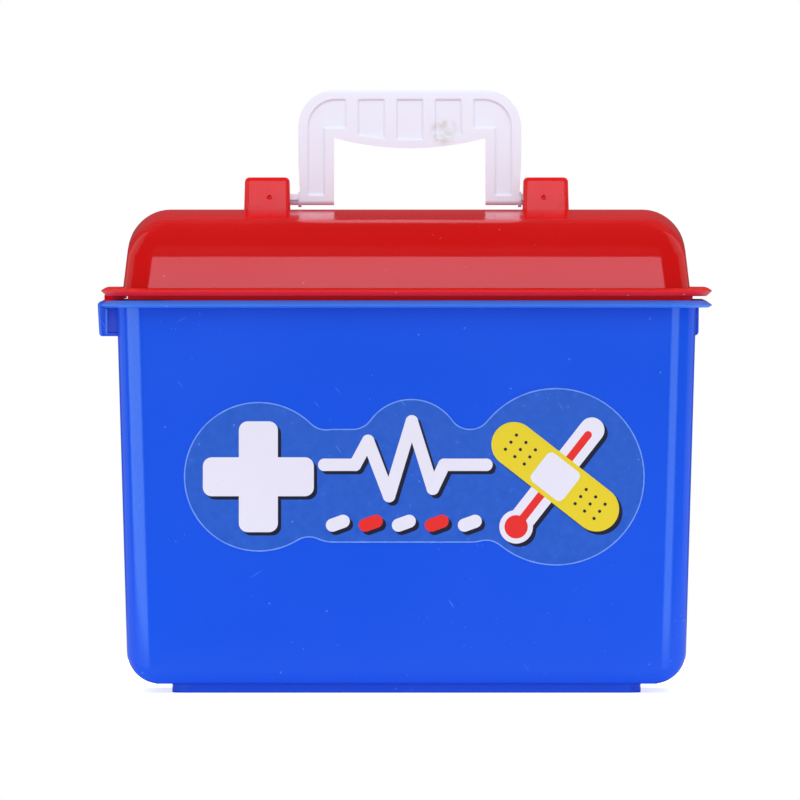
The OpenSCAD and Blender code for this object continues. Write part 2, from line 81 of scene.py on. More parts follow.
LUG_UP = 10.8
LID_UP = 26.1
LID_FLANGE_T = 2.7
LID_INSET = 2.1
LID_DRAFT = math.radians(5.8)
LID_CORNER = 8.7
DOME_R = 220.0
CROWN_Z = lid_high.z - LUG_UP
DOME_Z = CROWN_Z - LID_UP
LID_Z = DOME_Z - LID_FLANGE_T
LID_X = TUB_X - LID_INSET
LID_Y = TUB_Y - LID_INSET
print("tub half width and depth:", round(TUB_X, 2), round(TUB_Y, 2), "rim", round(RIM_Z, 2))
print("lid crown:", round(CROWN_Z, 2), "dome from", round(DOME_Z, 2))
print("handle thick:", round(handle_high.y - handle_low.y, 2), "top", round(handle_high.z, 2))

# %% [markdown]
# ## Helpers for moulded shapes
#
# A moulding is a thin shell that follows a rectangle with round corners. Each shell starts
# as one face. Its border is extruded ring by ring, which is how one would draw it by hand
# with the extrude tool, and the radii come from bevels afterwards.

# %% Turn a drawn shape into an object
def new_piece(name, bm):
    bmesh.ops.scale(bm, vec=(MM, MM, MM), verts=bm.verts)
    mesh = bpy.data.meshes.new(name)
    bm.to_mesh(mesh)
    bm.free()
    piece = bpy.data.objects.new(name, mesh)
    bpy.context.scene.collection.objects.link(piece)
    return piece


def settle(piece):
    """Keeps what the modifiers have made as the piece's own mesh"""
    bpy.context.view_layer.update()
    graph = bpy.context.evaluated_depsgraph_get()
    shaped = bpy.data.meshes.new_from_object(piece.evaluated_get(graph))
    drawn = piece.data
    piece.modifiers.clear()
    piece.data = shaped
    bpy.data.meshes.remove(drawn)
    shaped.name = piece.name


def carve(piece, cutter):
    cut = piece.modifiers.new("carve", "BOOLEAN")
    cut.operation = "DIFFERENCE"
    cut.solver = "EXACT"
    cut.object = cutter
    settle(piece)
    bpy.data.objects.remove(cutter)


# %% Draw boxes, posts and flat outlines with some thickness
def add_box(bm, low, high):
    made = bmesh.ops.create_cube(bm, size=1)["verts"]
    low, high = Vector(low), Vector(high)
    bmesh.ops.scale(bm, vec=high - low, verts=made)
    bmesh.ops.translate(bm, vec=(low + high) / 2, verts=made)
    return made


def box_cutter(low, high):
    bm = bmesh.new()
    add_box(bm, low, high)
    return new_piece("cutter", bm)


def add_slab(bm, outline, y_low, y_high):
    """A flat outline of x and z, given thickness from y_low to y_high"""
    corners = [bm.verts.new((x, y_low, z)) for x, z in outline]
    face = bm.faces.new(corners)
    made = bmesh.ops.extrude_face_region(bm, geom=[face])["geom"]
    far = [part for part in made if isinstance(part, bmesh.types.BMVert)]
    bmesh.ops.translate(bm, vec=(0, y_high - y_low, 0), verts=far)
    bmesh.ops.recalc_face_normals(bm, faces=bm.faces)
    return corners + far


def soften(bm, edges, width, segments):
    bmesh.ops.bevel(bm, geom=edges, offset=width, offset_type="OFFSET", segments=segments,
                    profile=0.5, affect="EDGES", material=-1, clamp_overlap=True)


# %% Sweep a section round a rectangle with round corners
CORNER_STEPS = 14


def add_swept_ring(bm, half_x, half_y, corner, section):
    def place(verts, out, z):
        for vert in verts:
            x = max(corner - half_x, min(half_x - corner, vert.co.x))
            y = max(corner - half_y, min(half_y - corner, vert.co.y))
            side = Vector((vert.co.x - x, vert.co.y - y)).normalized() * (corner + out)
            vert.co = (x + side.x, y + side.y, z)

    sheet = bmesh.new()
    quad = bmesh.ops.create_grid(sheet, x_segments=1, y_segments=1, size=1)["verts"]
    bmesh.ops.scale(sheet, vec=(half_x, half_y, 1), verts=quad)
    bmesh.ops.bevel(sheet, geom=quad, offset=corner, offset_type="OFFSET",
                    segments=CORNER_STEPS, profile=0.5, affect="VERTICES", material=-1)
    bmesh.ops.delete(sheet, geom=list(sheet.faces), context="FACES_ONLY")
    place(sheet.verts, *section[0])
    first = edges = list(sheet.edges)
    for out, z in section[1:]:
        made = bmesh.ops.extrude_edge_only(sheet, edges=edges)["geom"]
        edges = [part for part in made if isinstance(part, bmesh.types.BMEdge)]
        place([part for part in made if isinstance(part, bmesh.types.BMVert)], out, z)
    bmesh.ops.bridge_loops(sheet, edges=first + edges)
    bmesh.ops.recalc_face_normals(sheet, faces=sheet.faces)
    ring = bpy.data.meshes.new("ring")
    sheet.to_mesh(ring)
    sheet.free()
    bm.from_mesh(ring)
    bpy.data.meshes.remove(ring)


# %% Finish a piece: soft edges, smooth shading, its body and its slot
# The modifier's clamp keeps the rounding as narrow as the shortest edges allow. The handle,
# the dome, the seat and the lugs have such short edges that they get almost none.
SHARP_ANGLE = math.radians(35)


def finish_piece(piece, body, material, edge, segments=2):
    rounding = piece.modifiers.new("rounding", "BEVEL")
    rounding.width = edge * MM
    rounding.segments = segments
    rounding.limit_method = "ANGLE"
    rounding.angle_limit = SHARP_ANGLE
    piece.data.shade_smooth()
    even = piece.modifiers.new("even_shading", "WEIGHTED_NORMAL")
    even.keep_sharp = True
    piece.data.materials.clear()
    piece.data.materials.append(material)
    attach(piece, body)
    box = [Vector(corner) / MM for corner in piece.bound_box]
    print(piece.name, len(piece.data.polygons), "faces, up to",
          [round(max(point[axis] for point in box), 1) for axis in range(3)])


# %% [markdown]
# ## Shared surface effects
#
# No moulded toy is perfectly even. Its colour clouds a little, its skin has a faint
# waviness, fine hairline scratches cross it and dust sits on it. Each effect is one node
# group that every plastic uses with its own values, and all of them read Object
# coordinates, so that the marks stay on the piece when it moves.

# %% A helper for node trees
def wire(tree, node_type, links=(), **values):
    """Adds a node, sets its plain values and links its inputs"""
    node = tree.nodes.new(node_type)
    for name, value in values.items():
        setattr(node, name, value)
    for key, source in dict(links).items():
        if isinstance(source, bpy.types.NodeSocket):
            tree.links.new(source, node.inputs[key])
        else:
            node.inputs[key].default_value = source
    return node


def new_group(name, inputs, outputs):
    group = bpy.data.node_groups.new(name, "ShaderNodeTree")
    for label, value in inputs.items():
        socket = group.interface.new_socket(label, in_out="INPUT", socket_type="NodeSocketFloat")
        socket.default_value = value
    for label in outputs:
        group.interface.new_socket(label, in_out="OUTPUT", socket_type="NodeSocketFloat")
    return group, wire(group, "NodeGroupInput"), wire(group, "NodeGroupOutput")


# %% Group: the clouded colour and the wavy skin of moulded plastic
moulded_skin, given, out = new_group(
    "moulded_skin", {"Cloud size": 12.0, "Grain size": 900.0, "Wave size": 28.0},
    ("Clouds", "Grain", "Waves"))
place = wire(moulded_skin, "ShaderNodeTexCoord").outputs["Object"]
clouds = wire(moulded_skin, "ShaderNodeTexNoise",
              {"Vector": place, "Scale": given.outputs["Cloud size"], "Detail": 3.0})
grain = wire(moulded_skin, "ShaderNodeTexNoise",
             {"Vector": place, "Scale": given.outputs["Grain size"], "Detail": 2.0})
waves = wire(moulded_skin, "ShaderNodeTexNoise",
             {"Vector": place, "Scale": given.outputs["Wave size"], "Detail": 1.0})
for label, noise in (("Clouds", clouds), ("Grain", grain), ("Waves", waves)):
    moulded_skin.links.new(noise.outputs["Fac"], out.inputs[label])
print("group", moulded_skin.name)

# %% Group: hairline scratches, as long thin cells that lie in four directions
# Each turn lays the cells along one kind of face: two for the front, one each for level
# faces and for the ends. The sizes of a cell are metres.
hairlines, given, out = new_group("hairlines", {"Amount": 0.5, "Share": 0.05}, ("Scratches",))
place = wire(hairlines, "ShaderNodeTexCoord").outputs["Object"]
HAIR_TURNS = (((0, 0.95, 0), 0.016), ((0, -0.55, 0), 0.022), ((0, 0, 0.7), 0.018),
              ((0, 0.8, 1.571), 0.018))
HAIR_WIDTH = 0.0012
all_marks = None
for turn, length in HAIR_TURNS:
    turned = wire(hairlines, "ShaderNodeMapping",
                  {"Vector": place, "Rotation": turn, "Scale": (length, HAIR_WIDTH, HAIR_WIDTH)},
                  vector_type="TEXTURE")
    strands = wire(hairlines, "ShaderNodeTexVoronoi",
                   {"Vector": turned.outputs["Vector"], "Scale": 1.0})
    thin = wire(hairlines, "ShaderNodeMapRange",
                {"Value": strands.outputs["Distance"], "From Min": 0.14, "From Max": 0.07})
    chance = wire(hairlines, "ShaderNodeSeparateColor", {"Color": strands.outputs["Color"]})
    chosen = wire(hairlines, "ShaderNodeMath",
                  {0: chance.outputs["Red"], 1: given.outputs["Share"]}, operation="LESS_THAN")
    mark = wire(hairlines, "ShaderNodeMath", {0: thin.outputs[0], 1: chosen.outputs[0]},
                operation="MULTIPLY").outputs[0]
    if all_marks:
        mark = wire(hairlines, "ShaderNodeMath", {0: all_marks, 1: mark},
                    operation="MAXIMUM").outputs[0]
    all_marks = mark
patches = wire(hairlines, "ShaderNodeTexNoise", {"Vector": place, "Scale": 22.0, "Detail": 1.0})
where = wire(hairlines, "ShaderNodeMapRange",
             {"Value": patches.outputs["Fac"], "From Min": 0.48, "From Max": 0.62})
shown = wire(hairlines, "ShaderNodeMath", {0: all_marks, 1: where.outputs[0]},
             operation="MULTIPLY")
scaled = wire(hairlines, "ShaderNodeMath", {0: shown.outputs[0], 1: given.outputs["Amount"]},
              operation="MULTIPLY")
hairlines.links.new(scaled.outputs[0], out.inputs["Scratches"])
print("group", hairlines.name)

# %% Group: dust, as few small specks of a cell pattern
dust_specks, given, out = new_group(
    "dust_specks", {"Amount": 0.5, "Speck density": 260.0, "Share": 0.12}, ("Dust",))
place = wire(dust_specks, "ShaderNodeTexCoord").outputs["Object"]
cells = wire(dust_specks, "ShaderNodeTexVoronoi",
             {"Vector": place, "Scale": given.outputs["Speck density"], "Randomness": 1.0})
speck = wire(dust_specks, "ShaderNodeMapRange",
             {"Value": cells.outputs["Distance"], "From Min": 0.1, "From Max": 0.05})
chance = wire(dust_specks, "ShaderNodeSeparateColor", {"Color": cells.outputs["Color"]})
chosen = wire(dust_specks, "ShaderNodeMath",
              {0: chance.outputs["Red"], 1: given.outputs["Share"]}, operation="LESS_THAN")
kept = wire(dust_specks, "ShaderNodeMath", {0: speck.outputs[0], 1: chosen.outputs[0]},
            operation="MULTIPLY")
scaled = wire(dust_specks, "ShaderNodeMath", {0: kept.outputs[0], 1: given.outputs["Amount"]},
              operation="MULTIPLY")
dust_specks.links.new(scaled.outputs[0], out.inputs["Dust"])
print("group", dust_specks.name)

# %% [markdown]
# ## The plastics
#
# Tub, lid and handle are glossy polypropylene. Its colour is all through, so a scratch or
# a speck is only a paler mark on it. One builder makes them all, also the inks and the
# paler copies that paint highlights on rims and light in the lugs, and the numbers say how
# clean and how glossy each is. Colours are written as they look on a screen and turned into
# light values first.

# %% Colours
def paint(red, green, blue):
    def light(value):
        value /= 255
        return value / 12.92 if value <= 0.04045 else ((value + 0.055) / 1.055) ** 2.4
    return (light(red), light(green), light(blue), 1.0)


def mix_colour(tree, share, first, second):
    node = wire(tree, "ShaderNodeMix", data_type="RGBA")
    for socket, value in (("Factor_Float", share), ("A_Color", first), ("B_Color", second)):
        target = next(i for i in node.inputs if i.identifier == socket)
        if isinstance(value, bpy.types.NodeSocket):
            tree.links.new(value, target)
        else:
            target.default_value = value
    return next(o for o in node.outputs if o.identifier == "Result_Color")


# %% The builder
def glossy_plastic(name, colour, cloud_colour, mark_colour, roughness, dust, scratches,
                   wave=0.35, cloud_size=12.0, wave_size=28.0, dust_share=0.12,
                   scratch_share=0.05):
    material = bpy.data.materials.new(name)
    material.use_nodes = True
    tree = material.node_tree
    shader = tree.nodes["Principled BSDF"]
    skin = wire(tree, "ShaderNodeGroup", node_tree=moulded_skin)
    skin.inputs["Cloud size"].default_value = cloud_size
    skin.inputs["Wave size"].default_value = wave_size
    lines = wire(tree, "ShaderNodeGroup", node_tree=hairlines)
    lines.inputs["Amount"].default_value = scratches
    lines.inputs["Share"].default_value = scratch_share
    specks = wire(tree, "ShaderNodeGroup", node_tree=dust_specks)
    specks.inputs["Amount"].default_value = dust
    specks.inputs["Share"].default_value = dust_share
    clouded = mix_colour(tree, skin.outputs["Clouds"], colour, cloud_colour)
    scratched = mix_colour(tree, lines.outputs["Scratches"], clouded, mark_colour)
    dusty = mix_colour(tree, specks.outputs["Dust"], scratched, mark_colour)
    tree.links.new(dusty, shader.inputs["Base Color"])
    gloss = wire(tree, "ShaderNodeMapRange",
                 {"Value": skin.outputs["Clouds"], "To Min": roughness - 0.04,
                  "To Max": roughness + 0.05})
    duller = wire(tree, "ShaderNodeMath",
                  {0: lines.outputs["Scratches"], 1: 0.3, 2: gloss.outputs[0]},
                  operation="MULTIPLY_ADD")
    tree.links.new(duller.outputs[0], shader.inputs["Roughness"])
    height = wire(tree, "ShaderNodeMath",
                  {0: skin.outputs["Waves"], 1: 6.0, 2: skin.outputs["Grain"]},
                  operation="MULTIPLY_ADD")
    relief = wire(tree, "ShaderNodeBump",
                  {"Height": height.outputs[0], "Strength": wave, "Distance": 0.00002})
    tree.links.new(relief.outputs["Normal"], shader.inputs["Normal"])
    shader.inputs["IOR"].default_value = 1.49
    print("material", name)
    return material


# %% The three mouldings' plastics, with paler copies that paint highlights on the rims and light in the lugs, and a dull inner red painted brighter than the lid's to lift its shade
blue_plastic = glossy_plastic(
    "blue_plastic", paint(14, 81, 224), paint(17, 84, 229), paint(120, 160, 245),
    roughness=0.16, dust=0.5, scratches=0.4)
# A paler copy of the blue: a painted highlight for the rim's edges and the ears' ribs.
blue_edge_highlight = glossy_plastic(
    "blue_edge_highlight", paint(46, 116, 238), paint(66, 134, 246), paint(160, 200, 255),
    roughness=0.28, dust=0.6, scratches=0.3, wave=0.7, wave_size=140.0, dust_share=0.3)
red_plastic = glossy_plastic(
    "red_plastic", paint(205, 8, 9), paint(209, 11, 12), paint(235, 130, 130),
    roughness=0.14, dust=0.5, scratches=0.4, wave=0.6)
# A paler copy of the red, painted light for the thin-walled lugs.
red_lug_lightened = glossy_plastic(
    "red_lug_lightened", paint(232, 10, 12), paint(238, 16, 18), paint(245, 150, 150),
    roughness=0.2, dust=0.5, scratches=0.5, wave=0.8, wave_size=140.0, scratch_share=0.3)
# A paler copy of the red, a painted highlight for the lid's flange; its many pale specks are
# broken painted highlight as well as dust.
red_edge_highlight = glossy_plastic(
    "red_edge_highlight", paint(224, 15, 12), paint(236, 34, 28), paint(250, 160, 160),
    roughness=0.3, dust=0.9, scratches=0.3, wave=0.7, wave_size=140.0, dust_share=0.5)
# A red brighter than the lid's and given a glow below: painted light for the seat and arms,
# which sit in shade under the flange.
red_inner_glow = glossy_plastic(
    "red_inner_glow", paint(235, 5, 20), paint(239, 8, 24), paint(230, 60, 60),
    roughness=0.55, dust=0.3, scratches=0.2)
# The white plastic also gets a faint painted blue glow below.
white_plastic = glossy_plastic(
    "white_plastic", paint(245, 246, 255), paint(243, 243, 255), paint(225, 218, 226),
    roughness=0.3, dust=0.3, scratches=0.3)

# %% [markdown]
# Two of them glow a little, though neither is a lamp: a faint painted blue glow on the
# white plastic, and a painted red glow on the inner red, which lifts its shaded seat and
# arms. The handle's third pocket has a faint stain, a patch of noise round one point.

# %% Painted glow on the white and inner red plastics, and the stain on the handle
# Each of these plastics gets a painted glow of its own colour and strength.
for finish, painted_glow_colour, strength in ((white_plastic, (0.1, 0.5, 1.0, 1), 0.08),
                                      (red_inner_glow, (0.6, 0.01, 0.03, 1), 0.22)):
    shader = finish.node_tree.nodes["Principled BSDF"]
    shader.inputs["Emission Color"].default_value = painted_glow_colour
    shader.inputs["Emission Strength"].default_value = strength
red_inner_glow.node_tree.nodes["Principled BSDF"].inputs["Specular IOR Level"].default_value = 0.1

STAIN_AT = (0.0127, -0.003, 0.1872)
STAIN_FULL, STAIN_END = 0.0035, 0.0056
tree = white_plastic.node_tree
shader = tree.nodes["Principled BSDF"]
place = wire(tree, "ShaderNodeTexCoord").outputs["Object"]
away = wire(tree, "ShaderNodeVectorMath", {0: place, 1: STAIN_AT},
            operation="DISTANCE")
near = wire(tree, "ShaderNodeMapRange",
            {"Value": away.outputs["Value"], "From Min": STAIN_END, "From Max": STAIN_FULL})
mottle = wire(tree, "ShaderNodeTexNoise", {"Vector": place, "Scale": 420.0, "Detail": 3.0})
patchy = wire(tree, "ShaderNodeMapRange",
              {"Value": mottle.outputs["Fac"], "From Min": 0.35, "From Max": 0.7})
stained = wire(tree, "ShaderNodeMath", {0: near.outputs[0], 1: patchy.outputs[0]},
               operation="MULTIPLY")
clean = shader.inputs["Base Color"].links[0].from_socket
tree.links.new(mix_colour(tree, stained.outputs[0], clean, paint(221, 216, 208)),
               shader.inputs["Base Color"])
print("stain on", white_plastic.name)

# %% [markdown]
# ## The tub's shell
#
# The real tub is one thin moulding with sloping walls, a round turn into the floor and a
# stepped foot. It could be a box with a Solidify modifier, but its turns differ in width:
# 10.5 mm at the ends, 4.5 mm at the front and back, 9 mm at the corners. So the edges carry
# bevel weights, one Bevel modifier reads them all, and Solidify then adds the wall inwards.

# %% Draw the shell from the foot upwards
FOOT_UP = 3.0
FOOT_IN_X, FOOT_IN_Y, FOOT_CORNER = 14.8, 5.5, 6.0
END_TURN, FRONT_TURN = 10.5, 4.5
WIDEST_BEVEL = 15.0


def border(bm):
    return [edge for edge in bm.edges if edge.is_boundary]


def next_ring(bm, half_x, half_y, z):
    """Extrudes the open border and puts its corners at the new size and height"""
    made = bmesh.ops.extrude_edge_only(bm, edges=border(bm))["geom"]
    for vert in (part for part in made if isinstance(part, bmesh.types.BMVert)):
        vert.co = (math.copysign(half_x, vert.co.x), math.copysign(half_y, vert.co.y), z)


def weigh_edges(bm, rules):
    """Writes a bevel weight on each edge that a rule accepts: (test of its middle, width)"""
    weight = bm.edges.layers.float.new("bevel_weight_edge")
    for edge in bm.edges:
        a, b = (vert.co for vert in edge.verts)
        for accepts, width in rules:
            if accepts((a + b) / 2, a - b):
                edge[weight] = width / WIDEST_BEVEL


def weighted_bevel(piece, segments):
    bevel = piece.modifiers.new("radii", "BEVEL")
    bevel.limit_method = "WEIGHT"
    bevel.width = WIDEST_BEVEL * MM
    bevel.segments = segments
    bevel.use_clamp_overlap = False
    settle(piece)


def wall_inwards(piece, thickness):
    wall = piece.modifiers.new("wall", "SOLIDIFY")
    wall.thickness = thickness * MM
    wall.offset = -1
    wall.use_even_offset = True
    settle(piece)


def tub_half(z):
    lean = (RIM_Z - z) * math.tan(TUB_DRAFT)
    return TUB_X - lean, TUB_Y - lean


belly_x, belly_y = tub_half(FOOT_UP)
top_z = RIM_Z - 1.2
bm = bmesh.new()
bmesh.ops.create_grid(bm, x_segments=1, y_segments=1, size=1)
for vert in bm.verts:
    vert.co = (math.copysign(belly_x - FOOT_IN_X, vert.co.x),
               math.copysign(belly_y - FOOT_IN_Y, vert.co.y), 0)
next_ring(bm, belly_x - FOOT_IN_X, belly_y - FOOT_IN_Y, FOOT_UP)
next_ring(bm, belly_x, belly_y, FOOT_UP)
next_ring(bm, *tub_half(top_z), top_z)
weigh_edges(bm, (
    (lambda mid, way: mid.z > 20 and abs(way.z) > 50, TUB_CORNER),
    (lambda mid, way: abs(mid.x) > belly_x - 1 and mid.z < 5, END_TURN),
    (lambda mid, way: abs(mid.y) > belly_y - 1 and mid.z < 5, FRONT_TURN),
    (lambda mid, way: 0 < mid.z < FOOT_UP and abs(way.z) > 1, FOOT_CORNER),
))
bmesh.ops.recalc_face_normals(bm, faces=bm.faces)
tub_shell = new_piece("tub_shell", bm)
weighted_bevel(tub_shell, 12)
wall_inwards(tub_shell, WALL)

# %% [markdown]
# The snap's pocket is sunk in the inside of the right end wall. It is cut out with a plain
# box, because a mould's slide leaves just such a sharp pocket.

# %% Cut the snap's pocket and finish the shell
SNAP_POCKET_HALF_W, SNAP_POCKET_LOW, SNAP_POCKET_TOP = 9, RIM_Z - 12.2, RIM_Z - 4.7
carve(tub_shell, box_cutter((TUB_X - 5, -SNAP_POCKET_HALF_W, SNAP_POCKET_LOW),
                            (TUB_X - 0.5, SNAP_POCKET_HALF_W, SNAP_POCKET_TOP)))
finish_piece(tub_shell, "case", blue_plastic, edge=0.3)
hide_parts("tub")

# %% [markdown]
# ## The tub's rim, ears and catch
#
# The rim is a flange whose edge runs out to a low point, swept round the tub. Two slots in
# it let the hinge arms swing. The ears hang under it at the left end, and a bulge on the
# right end wall makes room for the snap.

# %% The rim flange with its two arm slots
RIM_ROOT = -1.58
RIM_SECTION = [(RIM_ROOT, RIM_Z - 3), (-0.6, RIM_Z - 3), (0, RIM_Z - TUB_FLANGE_T),
               (TUB_FLANGE_OUT - 1.4, RIM_Z - TUB_FLANGE_T), (TUB_FLANGE_OUT, RIM_Z - 1.6),
               (TUB_FLANGE_OUT - 2.2, RIM_Z), (RIM_ROOT, RIM_Z)]
HINGE_SPAN = 80.0
ARM_W = 8.0
ARM_PLAY = 0.4
ARM_SLOT_PLAY = 0.9
bm = bmesh.new()
add_swept_ring(bm, TUB_X, TUB_Y, TUB_CORNER, RIM_SECTION)
tub_rim = new_piece("tub_rim", bm)
for side in (-1, 1):
    ends = sorted((side * HINGE_SPAN / 2, side * (HINGE_SPAN / 2 - ARM_W - ARM_SLOT_PLAY)))
    carve(tub_rim, box_cutter((-TUB_X - 9, ends[0], RIM_Z - 5),
                              (-TUB_X - 0.3, ends[1], RIM_Z + 2)))
# The rim wears the paler blue, a painted highlight along its edges.
finish_piece(tub_rim, "case", blue_edge_highlight, edge=0.35, segments=3)
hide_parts("tub")

# %% The two ears, each with a round outer edge, a sunk face and a rib beside it
EAR_T, EAR_LOW, EAR_TOP = 3.6, RIM_Z - 12, RIM_Z - 0.3
EAR_SLANT, EAR_CHAMFER, EAR_TURN = 0.6, 0.9, 1.9
EAR_SINK, EAR_BORDER = 1.2, 1.2
RIB_NEAR, RIB_FAR = 2.5, 3.5
EAR_OUTER = EAR_X + 0.7
for side, name in ((-1, "ear_front"), (1, "ear_back")):
    inner, outer = side * HINGE_SPAN / 2, side * (HINGE_SPAN / 2 + EAR_T)
    bm = bmesh.new()
    add_slab(bm, [(EAR_X + EAR_SLANT, EAR_LOW), (-TUB_X + 0.8, EAR_LOW),
                  (-TUB_X + 0.8, EAR_TOP), (EAR_X + EAR_CHAMFER, EAR_TOP),
                  (EAR_X, EAR_TOP - EAR_CHAMFER)], inner, outer)
    upright = [edge for edge in bm.edges if all(
        v.co.x < EAR_OUTER and abs(v.co.y - outer) < 0.01 for v in edge.verts)]
    lower = [edge for edge in bm.edges if all(
        v.co.x < EAR_OUTER and abs(v.co.z - EAR_LOW) < 0.01 for v in edge.verts)]
    soften(bm, upright + lower, EAR_TURN, 6)
    ear = new_piece(name, bm)
    ends = sorted((outer - side * EAR_SINK, outer + side * 2))
    carve(ear, box_cutter((EAR_X + 3, ends[0], EAR_LOW + EAR_BORDER),
                          (-TUB_X + 2, ends[1], RIM_Z - TUB_FLANGE_T - 0.4)))
    finish_piece(ear, "case", blue_plastic, edge=0.3)
    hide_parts("tub")
    bm = bmesh.new()
    ends = sorted((outer - side * 1.3, outer + side * 0.1))
    add_box(bm, (EAR_X + RIB_NEAR, ends[0], EAR_LOW + 0.8),
            (EAR_X + RIB_FAR, ends[1], RIM_Z - 2.6))
    ear_rib = new_piece(name + "_rib", bm)
    # The rib wears the paler blue, a painted highlight beside the sunk face.
    finish_piece(ear_rib, "case", blue_edge_highlight, edge=0.45, segments=4)
    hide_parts("tub")

# %% The bulge over the snap's pocket
BULGE, BULGE_LOW, BULGE_TOP, BULGE_HALF_W = 1.3, RIM_Z - 12, RIM_Z - 2.2, 11
bm = bmesh.new()
add_slab(bm, [(TUB_X - 0.8, BULGE_LOW), (TUB_X + BULGE - 0.1, BULGE_LOW),
              (TUB_X + BULGE, BULGE_TOP), (TUB_X - 0.8, BULGE_TOP)],
         -BULGE_HALF_W, BULGE_HALF_W)
rounded = [edge for edge in bm.edges
           if all(v.co.x > TUB_X and v.co.z < BULGE_LOW + 1 for v in edge.verts)]
soften(bm, rounded, BULGE, 6)
catch_bulge = new_piece("catch_bulge", bm)
finish_piece(catch_bulge, "case", blue_plastic, edge=0.3)
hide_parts("tub")

# %% [markdown]
# ## The lid's dome
#
# The dome is a shallow box whose walls lean in and turn into the top with a wide radius.
# From front to back its top is a flat arc, which a box doesn't have. So the box is bevelled
# first, sliced across into strips, and each point is then let down along the arc by its
# share of the height.

# %% Draw, bevel, slice and bow the dome
DOME_END_TURN, DOME_FRONT_TURN = 12.65, 13.0
STRIP_W, STRIPS = 4.1, 9
top_x = LID_X - LID_UP * math.tan(LID_DRAFT)
top_y = LID_Y - LID_UP * math.tan(LID_DRAFT)
bm = bmesh.new()
bmesh.ops.create_grid(bm, x_segments=1, y_segments=1, size=1)
for vert in bm.verts:
    vert.co = (math.copysign(top_x, vert.co.x), math.copysign(top_y, vert.co.y), CROWN_Z)
next_ring(bm, LID_X, LID_Y, DOME_Z - 0.1)
weigh_edges(bm, (
    (lambda mid, way: abs(way.z) > 10, LID_CORNER),
    (lambda mid, way: abs(mid.x) > top_x - 1 and mid.z > CROWN_Z - 1, DOME_END_TURN),
    (lambda mid, way: abs(mid.y) > top_y - 1 and mid.z > CROWN_Z - 1, DOME_FRONT_TURN),
))
bmesh.ops.recalc_face_normals(bm, faces=bm.faces)
lid_dome = new_piece("lid_dome", bm)
weighted_bevel(lid_dome, 12)

bm = bmesh.new()
bm.from_mesh(lid_dome.data)
for step in range(-STRIPS, STRIPS + 1):
    bmesh.ops.bisect_plane(bm, geom=list(bm.verts) + list(bm.edges) + list(bm.faces),
                           dist=1e-7, plane_co=(0, step * STRIP_W * MM, 0), plane_no=(0, 1, 0))
for vert in bm.verts:
    drop = DOME_R - math.sqrt(DOME_R ** 2 - (vert.co.y / MM) ** 2)
    vert.co.z -= drop * MM * (vert.co.z / MM - DOME_Z) / LID_UP
bm.to_mesh(lid_dome.data)
bm.free()
wall_inwards(lid_dome, WALL)

# %% [markdown]
# The two lugs stand on the dome and are hollow from below, as a mould's core leaves them.
# Each is a box with a slight taper and bevelled edges. One core, a smaller box, is cut out
# of the lug and of the dome under it.

# %% The lugs
LUG_X, LUG_W, LUG_D = 46.7, 15.6, 13.0
LUG_LOW, LUG_TOP = CROWN_Z - 2.0, lid_high.z
LUG_WALL, LUG_EDGE, LUG_TAPER = 2, 1.5, 0.955
DIMPLE_R, DIMPLE_IN, DIMPLE_OUT, DIMPLE_UP = 0.9, 0.7, 0.2, 4.1
for side, name in ((-1, "lug_left"), (1, "lug_right")):
    bm = bmesh.new()
    block = add_box(bm, (-LUG_W / 2, -LUG_D / 2, LUG_LOW), (LUG_W / 2, LUG_D / 2, LUG_TOP))
    for vert in block:
        if vert.co.z > CROWN_Z:
            vert.co.x *= LUG_TAPER
            vert.co.y *= LUG_TAPER
    soften(bm, [edge for edge in bm.edges if max(v.co.z for v in edge.verts) > CROWN_Z],
           LUG_EDGE, 5)
    bmesh.ops.translate(bm, vec=(side * LUG_X, 0, 0), verts=bm.verts)
    lug = new_piece(name, bm)
    bm = bmesh.new()
    bmesh.ops.create_uvsphere(bm, u_segments=20, v_segments=12, radius=DIMPLE_R)
    bmesh.ops.translate(bm, verts=bm.verts, vec=(
        side * (LUG_X - DIMPLE_IN), -LUG_D / 2 - DIMPLE_OUT, CROWN_Z + DIMPLE_UP))
    carve(lug, new_piece("dimple", bm))
    for part in (lug, lid_dome):
        carve(part, box_cutter(
            (side * LUG_X - LUG_W / 2 + LUG_WALL, LUG_WALL - LUG_D / 2, LUG_LOW - 5),
            (side * LUG_X + LUG_W / 2 - LUG_WALL, LUG_D / 2 - LUG_WALL, LUG_TOP - LUG_WALL)))
    # The lug wears the paler red, painted light.
    finish_piece(lug, "lid", red_lug_lightened, edge=0.2)
    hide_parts("lid")
finish_piece(lid_dome, "lid", red_plastic, edge=0.3)
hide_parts("lid")

# %% [markdown]
# ## The lid's rim
#
# The lid's flange runs out to a high point, so that the two rims together look like a
# beak. Under it a seat stands on the tub's rim and a lip reaches inside. Both stop short
# of the hinge end, where they would catch the wall as the lid swings.

# %% Flange, seat and lip
LID_TIP = tub_high.x - LID_X
bm = bmesh.new()
add_swept_ring(bm, LID_X, LID_Y, LID_CORNER,
               [(-WALL, LID_Z), (LID_TIP - 2, LID_Z), (LID_TIP, DOME_Z - 0.9),
                (LID_TIP - 1.4, DOME_Z), (-WALL, DOME_Z)])
lid_rim = new_piece("lid_rim", bm)
# The flange wears the paler red, a painted highlight along its edge.
finish_piece(lid_rim, "lid", red_edge_highlight, edge=0.35, segments=3)
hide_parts("lid")

